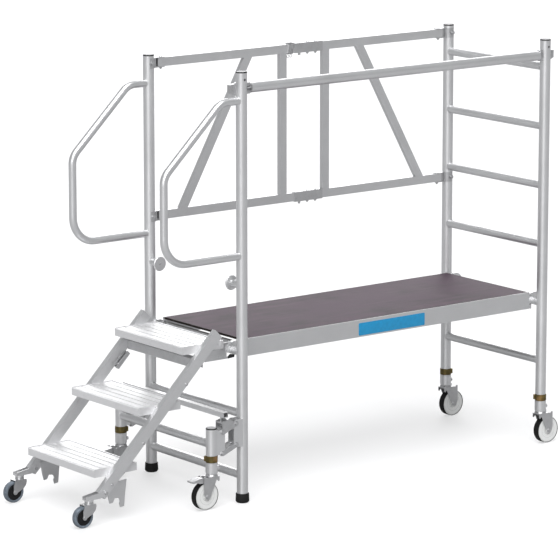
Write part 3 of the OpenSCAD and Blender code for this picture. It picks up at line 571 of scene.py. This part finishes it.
# the finish of each node that has one of its own
FINISHES = {
    "left_end_frame": lambda n, s: end_frame_aluminium(n, s.tube),
    "right_end_frame": lambda n, s: end_frame_aluminium(n, s.tube),
    "near_handrail": lambda n, s: drawn_aluminium(n, s.tube, Z, rough=0.3),
    "far_handrail": lambda n, s: drawn_aluminium(n, s.tube, Z, rough=0.3),
    "rail_studs": lambda n, s: drawn_aluminium(n, s.tube, Y, rough=0.3),
    "front_rail": lambda n, s: drawn_aluminium(n, s.tube, X, rough=0.32),
    "carriage_frame": lambda n, s: drawn_aluminium(n, s.tube, Z, rough=0.32),
    "carriage_sockets": lambda n, s: drawn_aluminium(n, s.tube, Z, rough=0.26),
    "right_caster_sockets": lambda n, s: drawn_aluminium(n, s.tube, Z, rough=0.26),
    "guard_left_half": lambda n, s: drawn_aluminium(n, s.bar, X),
    "guard_right_half": lambda n, s: drawn_aluminium(n, s.bar, X),
    "deck_frame": lambda n, s: drawn_aluminium(n, s.bar, X, rough=0.42),
    "deck_claws": lambda n, s: drawn_aluminium(n, s.tube, Y, rough=0.26),
    "pedal_bar": lambda n, s: drawn_aluminium(n, s.tube, Y),
    "stair_stringers": lambda n, s: drawn_aluminium(n, s.tube, X),
    "link_brackets": lambda n, s: drawn_aluminium(n, s.tube, Z, rough=0.3),
    "stair_brackets": lambda n, s: drawn_aluminium(n, s.bar, X, rough=0.3),
    "near_caster_arm": lambda n, s: drawn_aluminium(n, s.tube, X, rough=0.28),
    "far_caster_arm": lambda n, s: drawn_aluminium(n, s.tube, X, rough=0.28),
    "stair_treads": lambda n, s: drawn_aluminium(n, s.tread, Y, rough=0.4, metal=0.35),
    "post_caps": lambda n, s: cap_plastic(n, (LEFT_X + RIGHT_X) / 2, (RIGHT_X - LEFT_X) / 2),
    "carriage_caps": lambda n, s: cap_plastic(n, node_middle(n).x, 0.0),
    "near_left_brake": lambda n, s: pedal_steel(n, s.zinc),
    "far_left_brake": lambda n, s: pedal_steel(n, s.zinc),
    "stair_bolts": lambda n, s: stair_bolt_steel(n, s.zinc),
}
# the finish of the other nodes, by their material slot
SLOT_FINISHES = {
    "zinc_steel": lambda n, s: zinc_plate(n, s.zinc),
    "black_plastic": lambda n, s: moulded_plastic(n, s.black),
    "foot_rubber": lambda n, s: rubber(n, s.foot),
    "tyre_rubber": lambda n, s: banded_tyre(n, s.tyre, s.tyre_side),
    "step_tyre_rubber": lambda n, s: rubber(n, s.step_tyre),
    "wheel_plastic": lambda n, s: wheel_face(n, s.wheel),
    "step_wheel_plastic": lambda n, s: moulded_plastic(n, s.step_wheel),
    "brass_collar": lambda n, s: brass_plate(n, s.collar),
    "deck_plywood": lambda n, s: deck_film(n, s.deck),
}


class FinishNodes(bpy.types.Operator):
    """Gives every CAD node its own detailed finish"""

    bl_idname = "platform.finish_nodes"
    bl_label = "Finish the parts"

    def execute(self, context):
        s = context.scene.platform_finishes
        slots = {row["node"]: row["material_slot"] for row in frame["record"]["subparts"]}
        for name, obj in frame["nodes"].items():
            make = FINISHES.get(name) or SLOT_FINISHES.get(slots[name])
            if make is None:
                raise RuntimeError(f"no finish for {name}")
            obj.data.materials.clear()
            obj.data.materials.append(make(name, s))
        return {"FINISHED"}


# ---------------------------------------------------------------- making a piece


def start_piece():
    """Leaves edit mode and deselects everything before a piece is begun."""
    if bpy.context.object and bpy.context.object.mode != "OBJECT":
        bpy.ops.object.mode_set(mode="OBJECT")
    bpy.ops.object.select_all(action="DESELECT")


def choose(obj, faces=None, edges=None, points=None):
    """In edit mode, selects the faces, edges or points for which the test is true."""
    bpy.ops.object.mode_set(mode="EDIT")
    mode = "FACE" if faces else "EDGE" if edges else "VERT"
    bpy.ops.mesh.select_mode(type=mode)
    bpy.ops.mesh.select_all(action="DESELECT")
    bpy.ops.object.mode_set(mode="OBJECT")
    mesh = obj.data
    for face in mesh.polygons if faces else ():
        face.select = faces(face)
    for edge in mesh.edges if edges else ():
        edge.select = edges(*(mesh.vertices[i].co for i in edge.vertices))
    for point in mesh.vertices if points else ():
        point.select = points(point.co)
    bpy.ops.object.mode_set(mode="EDIT")


def finish_piece(obj, name, body, material):
    """Puts the piece's place in its mesh, smooths it, gives it its finish and its body."""
    smooth_under = math.radians(35)
    if obj.mode != "OBJECT":
        bpy.ops.object.mode_set(mode="OBJECT")
    start_piece()
    obj.select_set(True)
    bpy.context.view_layer.objects.active = obj
    bpy.ops.object.transform_apply(location=True, rotation=True, scale=True)
    bpy.ops.object.shade_smooth_by_angle(angle=smooth_under)
    obj.name = name
    obj.data.materials.clear()
    obj.data.materials.append(material)
    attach(obj, body)


def copy_at(obj, place, turn=None):
    """A copy of a finished shape with its own mesh, at a place and turned by Euler angles."""
    made = obj.copy()
    made.data = obj.data.copy()
    made.location = place
    if turn:
        made.rotation_euler = turn
    bpy.context.scene.collection.objects.link(made)
    return made


def joined(pieces):
    """The pieces made one object, their places applied first."""
    start_piece()
    for piece in pieces:
        piece.select_set(True)
    bpy.context.view_layer.objects.active = pieces[0]
    bpy.ops.object.transform_apply(location=True, rotation=True, scale=True)
    bpy.ops.object.join()
    return pieces[0]


def box_shape(low, high):
    """A box between two corners, its place in its mesh, ready to be shaped."""
    low, high = Vector(low), Vector(high)
    start_piece()
    bpy.ops.mesh.primitive_cube_add(size=1.0, location=(low + high) / 2, scale=high - low)
    bpy.ops.object.transform_apply(location=True, rotation=True, scale=True)
    return bpy.context.object


# ---------------------------------------------------------------- label


class LabelSettings(bpy.types.PropertyGroup):
    """Plain label on the deck's side beam"""

    start: bpy.props.FloatProperty(
        name="Start", description="From the left posts to the label",
        default=0.70, unit="LENGTH",
    )
    length: bpy.props.FloatProperty(
        name="Length", description="Length of the label", default=0.39, unit="LENGTH",
    )
    height: bpy.props.FloatProperty(
        name="Height", description="Height of the label", default=0.058, unit="LENGTH",
    )
    film: bpy.props.FloatProperty(
        name="Film", description="Thickness of the label", default=0.0005, unit="LENGTH",
    )
    corner: bpy.props.FloatProperty(
        name="Corner", description="Radius of the label's corners", default=0.005, unit="LENGTH",
    )
    colour: bpy.props.FloatVectorProperty(
        name="Colour", description="Colour of the label's film", size=3,
        default=(0.006, 0.26, 0.52), subtype="COLOR",
    )


class AddLabel(bpy.types.Operator):
    """Adds the plain label with rounded corners to the near beam"""

    bl_idname = "platform.add_label"
    bl_label = "Label"

    def execute(self, context):
        s = context.scene.platform_label
        glue, rim, raised = 0.0001, 0.0012, 0.0002
        beam_low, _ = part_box("deck_frame")
        middle = Vector((
            LEFT_X + s.start + s.length / 2,
            beam_low.y - s.film / 2 - glue,
            (beam_low.z + DECK_HIGH.z) / 2,
        ))
        reach = Vector((s.length, s.film, s.height)) / 2
        label = box_shape(middle - reach, middle + reach)
        choose(label, edges=lambda a, b: abs(a.y - b.y) > s.film / 2)
        bpy.ops.mesh.bevel(offset=s.corner, segments=5, affect="EDGES")
        choose(label, faces=lambda face: face.normal.y < -0.9)
        bpy.ops.mesh.inset(thickness=rim)
        bpy.ops.transform.translate(value=(0, -raised, 0))
        material = label_film("label_film", s.colour)
        finish_piece(label, "beam_label", "frame", material)
        return {"FINISHED"}


# ---------------------------------------------------------------- welds


class WeldSettings(bpy.types.PropertyGroup):
    """Weld beads where tubes meet the posts"""

    rung_radius: bpy.props.FloatProperty(
        name="Rung radius", description="Outer radius of a rung", default=0.019, unit="LENGTH",
    )
    rail_radius: bpy.props.FloatProperty(
        name="Rail radius", description="Outer radius of a handrail",
        default=0.0175, unit="LENGTH",
    )
    bead: bpy.props.FloatProperty(
        name="Bead", description="Radius of the weld bead", default=0.0021, unit="LENGTH",
    )


def weld_bead(radius, bead):
    """A rippled ring round a tube along +Y, saddled over a post that stands at the origin."""
    segments = 40
    off_tube, off_post, ripple = 0.3, 0.4, 0.8
    start_piece()
    bpy.ops.mesh.primitive_torus_add(
        major_segments=segments, minor_segments=8, major_radius=radius + bead * off_tube,
        minor_radius=bead, rotation=(math.radians(90), 0, 0),
    )
    ring = bpy.context.object
    bpy.ops.object.transform_apply(location=True, rotation=True, scale=True)
    step = 2 * math.pi / segments
    for k in range(segments):
        at = k * step

        def in_segment(co, at=at):
            turn = math.atan2(co.z, co.x) - at
            return abs(math.atan2(math.sin(turn), math.cos(turn))) < step / 4

        choose(ring, points=in_segment)
        saddle = math.sqrt(POST_R ** 2 - (radius * math.cos(at)) ** 2)
        bpy.ops.transform.translate(value=(0, saddle + bead * off_post, 0))
        if k % 2:
            middle = Vector((radius * math.cos(at), saddle, radius * math.sin(at)))
            bpy.ops.transform.resize(value=(ripple,) * 3, center_override=middle)
    bpy.ops.object.mode_set(mode="OBJECT")
    return ring


class AddWelds(bpy.types.Operator):
    """Adds a weld bead at each end of each rung and handrail"""

    bl_idname = "platform.add_welds"
    bl_label = "Welds"

    def execute(self, context):
        s = context.scene.platform_welds
        colour = context.scene.platform_finishes.tube
        rung = weld_bead(s.rung_radius, s.bead)
        for x, count, first, name in (
            (LEFT_X, 3, FIRST_RUNG_Z, "left_frame_welds"),
            (RIGHT_X, 6, FIRST_RUNG_Z + RUNG_PITCH, "right_frame_welds"),
        ):
            beads = []
            for k in range(count):
                z = first + k * RUNG_PITCH
                beads.append(copy_at(rung, (x, NEAR_Y, z)))
                beads.append(copy_at(rung, (x, -NEAR_Y, z), (0, 0, math.pi)))
            finish_piece(joined(beads), name, "frame", zinc_plate(name, colour))
        bpy.data.objects.remove(rung)
        rail = weld_bead(s.rail_radius, s.bead)
        for y, side in ((NEAR_Y, "near"), (-NEAR_Y, "far")):
            low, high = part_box(side + "_handrail")
            beads = [
                copy_at(rail, (LEFT_X, y, z), (0, 0, math.radians(90)))
                for z in (low.z + s.rail_radius, high.z - s.rail_radius)
            ]
            name = side + "_handrail_welds"
            finish_piece(joined(beads), name, "frame", zinc_plate(name, colour))
        bpy.data.objects.remove(rail)
        return {"FINISHED"}


# ---------------------------------------------------------------- treads


class TreadSettings(bpy.types.PropertyGroup):
    """Treads of the stair"""

    depth: bpy.props.FloatProperty(
        name="Depth", description="Depth of a tread", default=0.225, unit="LENGTH",
    )
    front: bpy.props.FloatProperty(
        name="Front", description="Height of a tread's front", default=0.032, unit="LENGTH",
    )
    wall: bpy.props.FloatProperty(
        name="Wall", description="Thickness of a tread's metal", default=0.0025, unit="LENGTH",
    )
    nosing: bpy.props.FloatProperty(
        name="Nosing", description="Radius of the front edge", default=0.003, unit="LENGTH",
    )
    rise: bpy.props.FloatProperty(
        name="End rise", description="How far the end plates stand above the tread",
        default=0.005, unit="LENGTH",
    )
    end_corner: bpy.props.FloatProperty(
        name="End corner", description="Radius of an end plate's upper front corner",
        default=0.006, unit="LENGTH",
    )
    ribs: bpy.props.IntProperty(name="Ribs", description="Ribs on a tread", default=5)
    rib_height: bpy.props.FloatProperty(
        name="Rib height", description="Height of a rib", default=0.002, unit="LENGTH",
    )
    rib_gap: bpy.props.FloatProperty(
        name="Rib gap", description="Between two ribs", default=0.006, unit="LENGTH",
    )
    margin: bpy.props.FloatProperty(
        name="Margin", description="Flat strip before the first rib and after the last",
        default=0.007, unit="LENGTH",
    )
    lip_height: bpy.props.FloatProperty(
        name="Lip height", description="Height of the rear lip", default=0.004, unit="LENGTH",
    )
    lip_width: bpy.props.FloatProperty(
        name="Lip width", description="Width of the rear lip", default=0.006, unit="LENGTH",
    )


EDGE_SLOPE = 0.0015  # how far a rib or an end plate slopes in at its edge


def tread_top(half, s):
    """Ribbed plate with a rounded nosing and a low rear lip, open below."""
    plate = box_shape((0, -half, -s.front), (s.depth, half, 0))
    choose(plate, faces=lambda face: face.normal.z < -0.9)
    bpy.ops.mesh.delete(type="FACE")
    choose(plate, faces=lambda face: abs(face.normal.y) > 0.9)
    bpy.ops.mesh.delete(type="FACE")
    choose(plate, edges=lambda a, b: max(a.x, b.x) < NEARLY and min(a.z, b.z) > -NEARLY)
    bpy.ops.mesh.bevel(offset=s.nosing, segments=3, affect="EDGES")
    rear = s.depth - s.lip_width
    pitch = (rear - 2 * s.margin + s.rib_gap) / s.ribs
    ribs = [
        (s.margin + k * pitch, s.margin + (k + 1) * pitch - s.rib_gap) for k in range(s.ribs)
    ]
    for x in [edge for rib in ribs for edge in rib] + [rear]:
        bpy.ops.mesh.select_all(action="SELECT")
        bpy.ops.mesh.bisect(plane_co=(x, 0, 0), plane_no=(1, 0, 0))

    def on_rib(face):
        level = face.normal.z > 0.9 and face.center.z > -NEARLY
        return level and any(start < face.center.x < end for start, end in ribs)

    choose(plate, faces=on_rib)
    bpy.ops.mesh.inset(thickness=EDGE_SLOPE, depth=s.rib_height)
    choose(plate, faces=lambda face: face.normal.z > 0.9 and face.center.x > rear)
    bpy.ops.mesh.extrude_region_move(TRANSFORM_OT_translate={"value": (0, 0, s.lip_height)})
    bpy.ops.object.mode_set(mode="OBJECT")
    wall = plate.modifiers.new("wall", "SOLIDIFY")
    wall.thickness = s.wall
    wall.offset = -1.0
    bpy.ops.object.modifier_apply(modifier="wall")
    return plate


def tread_end(outer, side, s):
    """End plate that stands a little above the tread, its front corner eased."""
    low, high = sorted((outer, outer - side * s.wall))
    plate = box_shape((0, low, -s.front), (s.depth, high, s.rise))
    choose(plate, edges=lambda a, b: max(a.x, b.x) < NEARLY and min(a.z, b.z) > 0)
    bpy.ops.mesh.bevel(offset=s.end_corner, segments=3, affect="EDGES")
    choose(plate, faces=lambda face: face.normal.y * side > 0.9)
    bpy.ops.mesh.inset(thickness=EDGE_SLOPE)
    bpy.ops.object.mode_set(mode="OBJECT")
    return plate


class AddTreads(bpy.types.Operator):
    """Adds the three ribbed treads with their square end plates"""

    bl_idname = "platform.add_treads"
    bl_label = "Treads"

    def execute(self, context):
        s = context.scene.platform_treads
        _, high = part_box("stair_treads")
        parts = [tread_top(high.y - s.wall, s)]
        for side in (-1, 1):
            parts.append(tread_end(side * high.y, side, s))
        tread = joined(parts)
        for k, name in enumerate(("top_tread", "middle_tread", "low_tread")):
            front = high.x - s.depth - k * STAIR_GOING
            level = high.z - s.lip_height - k * STAIR_RISE
            piece = copy_at(tread, (front, 0, level))
            material = tread_metal(name, context.scene.platform_finishes.tread)
            finish_piece(piece, name, "stair", material)
            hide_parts("stair_treads")
        bpy.data.objects.remove(tread)
        return {"FINISHED"}


# ---------------------------------------------------------------- rivets


class RivetSettings(bpy.types.PropertyGroup):
    """Rivets in the stair's stringers"""

    radius: bpy.props.FloatProperty(
        name="Radius", description="Radius of a rivet's head", default=0.0065, unit="LENGTH",
    )
    colour: bpy.props.FloatVectorProperty(
        name="Colour", description="Colour of the rivets", size=3,
        default=(0.6, 0.6, 0.61), subtype="COLOR",
    )


# distance along X from the left posts, and height
STRINGER_RIVETS = ((-0.258, 0.562), (-0.49, 0.33), (-0.66, 0.171))
# thickness of a rivet's flange, then inset and rise of each step of its dome, in radii
FLANGE = 0.5
DOME_STEPS = ((0.12, 0.0), (0.0, 0.22), (0.2, 0.12), (0.25, 0.06))


def rivet_head(radius):
    """A domed head on a thin flange that faces -Y."""
    start_piece()
    bpy.ops.mesh.primitive_cylinder_add(
        vertices=24, radius=radius, depth=radius * FLANGE, rotation=(math.radians(90), 0, 0)
    )
    head = bpy.context.object
    bpy.ops.object.transform_apply(location=True, rotation=True, scale=True)
    for inset, rise in DOME_STEPS:
        choose(head, faces=lambda face: face.normal.y < -0.99 and len(face.vertices) > 8)
        if inset:
            bpy.ops.mesh.inset(thickness=radius * inset)
        if rise:
            bpy.ops.mesh.extrude_region_move(
                TRANSFORM_OT_translate={"value": (0, -radius * rise, 0)}
            )
    bpy.ops.object.mode_set(mode="OBJECT")
    return head


class AddRivets(bpy.types.Operator):
    """Adds the domed rivets on the outer faces of the stringers"""

    bl_idname = "platform.add_rivets"
    bl_label = "Stair rivets"

    def execute(self, context):
        s = context.scene.platform_rivets
        low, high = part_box("stair_stringers")
        head = rivet_head(s.radius)
        proud = s.radius * FLANGE / 2
        heads = []
        for dx, z in STRINGER_RIVETS:
            heads.append(copy_at(head, (LEFT_X + dx, low.y - proud, z)))
            heads.append(copy_at(head, (LEFT_X + dx, high.y + proud, z), (0, 0, math.pi)))
        bpy.data.objects.remove(head)
        name = "stringer_rivets"
        finish_piece(joined(heads), name, "stair", zinc_plate(name, s.colour))
        return {"FINISHED"}


# ---------------------------------------------------------------- stage


class StageSettings(bpy.types.PropertyGroup):
    """Camera and light"""

    azimuth: bpy.props.FloatProperty(
        name="Azimuth", description="Heading the camera looks in, from +X",
        default=math.radians(52.267), subtype="ANGLE",
    )
    elevation: bpy.props.FloatProperty(
        name="Elevation", description="How far the camera looks down",
        default=math.radians(11.153), subtype="ANGLE",
    )
    position: bpy.props.FloatVectorProperty(
        name="Position", description="Where the camera stands",
        default=(-9.65515, -12.4973, 4.0682), subtype="TRANSLATION", unit="LENGTH",
    )
    lens: bpy.props.FloatProperty(
        name="Lens", description="Focal length in millimetres", default=226.77,
    )
    shift: bpy.props.FloatVectorProperty(
        name="Shift", description="Shift of the picture, across and up, in picture widths",
        size=2, default=(-0.0131, -0.0248),
    )
    floor_size: bpy.props.FloatProperty(
        name="Floor size", description="Side of the square floor", default=60.0, unit="LENGTH",
    )
    floor_colour: bpy.props.FloatVectorProperty(
        name="Floor", description="Colour of the floor", size=3,
        default=(0.42, 0.42, 0.425), subtype="COLOR",
    )
    floor_glow: bpy.props.FloatProperty(
        name="Floor glow", description="How much whiter the floor looks than it lights",
        default=0.52,
    )
    room_colour: bpy.props.FloatVectorProperty(
        name="Room", description="Colour of the light from all round", size=3,
        default=(0.97, 0.985, 1.0), subtype="COLOR",
    )
    room_light: bpy.props.FloatProperty(
        name="Room light", description="Strength of the light from all round", default=0.38,
    )
    overhead_light: bpy.props.FloatProperty(
        name="Overhead light", description="Strength of the light from above", default=2.6,
    )
    front_light: bpy.props.FloatProperty(
        name="Front light", description="Strength of the light from the front", default=1.0,
    )
    back_light: bpy.props.FloatProperty(
        name="Back light", description="Strength of the light from behind", default=1.3,
    )


FLOOR_GAP = 0.0006  # keeps the floor just clear of what stands on it


def add_floor(s):
    """A pale floor that looks whiter to the camera than it lights the platform."""
    bpy.ops.object.select_all(action="DESELECT")
    bpy.ops.mesh.primitive_plane_add(size=s.floor_size, location=(0, 0, -FLOOR_GAP))
    floor = bpy.context.object
    floor.name = "floor"
    f = Finish("floor_paper")
    cloud = f.noise(3.0, 3.0)
    seen = f.node("ShaderNodeLightPath", out="Is Camera Ray")
    f.set(
        Base_Color=f.mix(cloud, shade(s.floor_colour, 0.98), s.floor_colour),
        Roughness=0.75,
        Specular_IOR_Level=0.2,
        Emission_Color=(1.0, 1.0, 1.0),
        Emission_Strength=seen * s.floor_glow,
    )
    floor.data.materials.append(f.material)


def soft_sun(name, towards, strength, spread):
    """A very wide, soft light from far away; spread is its width in degrees."""
    data = bpy.data.lights.new(name, "SUN")
    data.energy = strength
    data.angle = math.radians(spread)
    light = bpy.data.objects.new(name, data)
    light.rotation_euler = Vector(towards).to_track_quat("Z", "Y").to_euler()
    bpy.context.scene.collection.objects.link(light)


def add_light(s):
    """Even light from all round, and three soft suns."""
    world = bpy.data.worlds.new("studio")
    world.use_nodes = True
    back = world.node_tree.nodes["Background"]
    back.inputs["Color"].default_value = rgba(s.room_colour)
    back.inputs["Strength"].default_value = s.room_light
    bpy.context.scene.world = world
    soft_sun("overhead", (-0.35, -0.45, 1.0), s.overhead_light, 50.0)
    soft_sun("front", (-0.75, -0.62, 0.32), s.front_light, 36.0)
    soft_sun("behind", (0.62, 0.79, 0.36), s.back_light, 44.0)


def add_camera(s):
    """The camera, level across, in front of the near left corner."""
    data = bpy.data.cameras.new("camera")
    data.lens = s.lens
    data.sensor_width = 36.0
    data.shift_x, data.shift_y = s.shift
    data.clip_end = 200.0
    camera = bpy.data.objects.new("camera", data)
    camera.location = s.position
    quarter_turn = math.radians(90)
    camera.rotation_euler = (quarter_turn - s.elevation, 0.0, s.azimuth - quarter_turn)
    bpy.context.scene.collection.objects.link(camera)
    bpy.context.scene.camera = camera


class BuildStage(bpy.types.Operator):
    """Adds the floor, the light and the camera"""

    bl_idname = "platform.build_stage"
    bl_label = "Build the stage"

    def execute(self, context):
        s = context.scene.platform_stage
        add_floor(s)
        add_light(s)
        add_camera(s)
        context.scene.view_settings.view_transform = "Standard"
        return {"FINISHED"}


# ---------------------------------------------------------------- add-on


class PlatformPanel(bpy.types.Panel):
    """Lists the steps that build the looks"""

    bl_label = "Work platform"
    bl_idname = "VIEW3D_PT_platform"
    bl_space_type = "VIEW_3D"
    bl_region_type = "UI"
    bl_category = "Platform"

    def draw(self, context):
        for operator in STEPS:
            self.layout.operator(operator.bl_idname)


SETTINGS = {
    "platform_stage": StageSettings,
    "platform_finishes": FinishSettings,
    "platform_label": LabelSettings,
    "platform_welds": WeldSettings,
    "platform_treads": TreadSettings,
    "platform_rivets": RivetSettings,
}
STEPS = (BuildStage, FinishNodes, AddLabel, AddWelds, AddTreads, AddRivets)
CLASSES = (*SETTINGS.values(), *STEPS, PlatformPanel)


def register():
    for cls in CLASSES:
        bpy.utils.register_class(cls)
    for name, settings in SETTINGS.items():
        setattr(bpy.types.Scene, name, bpy.props.PointerProperty(type=settings))


def unregister():
    for name in SETTINGS:
        delattr(bpy.types.Scene, name)
    for cls in reversed(CLASSES):
        bpy.utils.unregister_class(cls)


def main():
    register()
    bpy.ops.platform.build_stage()
    bpy.ops.platform.finish_nodes()
    bpy.ops.platform.add_label()
    bpy.ops.platform.add_welds()
    bpy.ops.platform.add_treads()
    bpy.ops.platform.add_rivets()


if __name__ == "__main__":
    main()
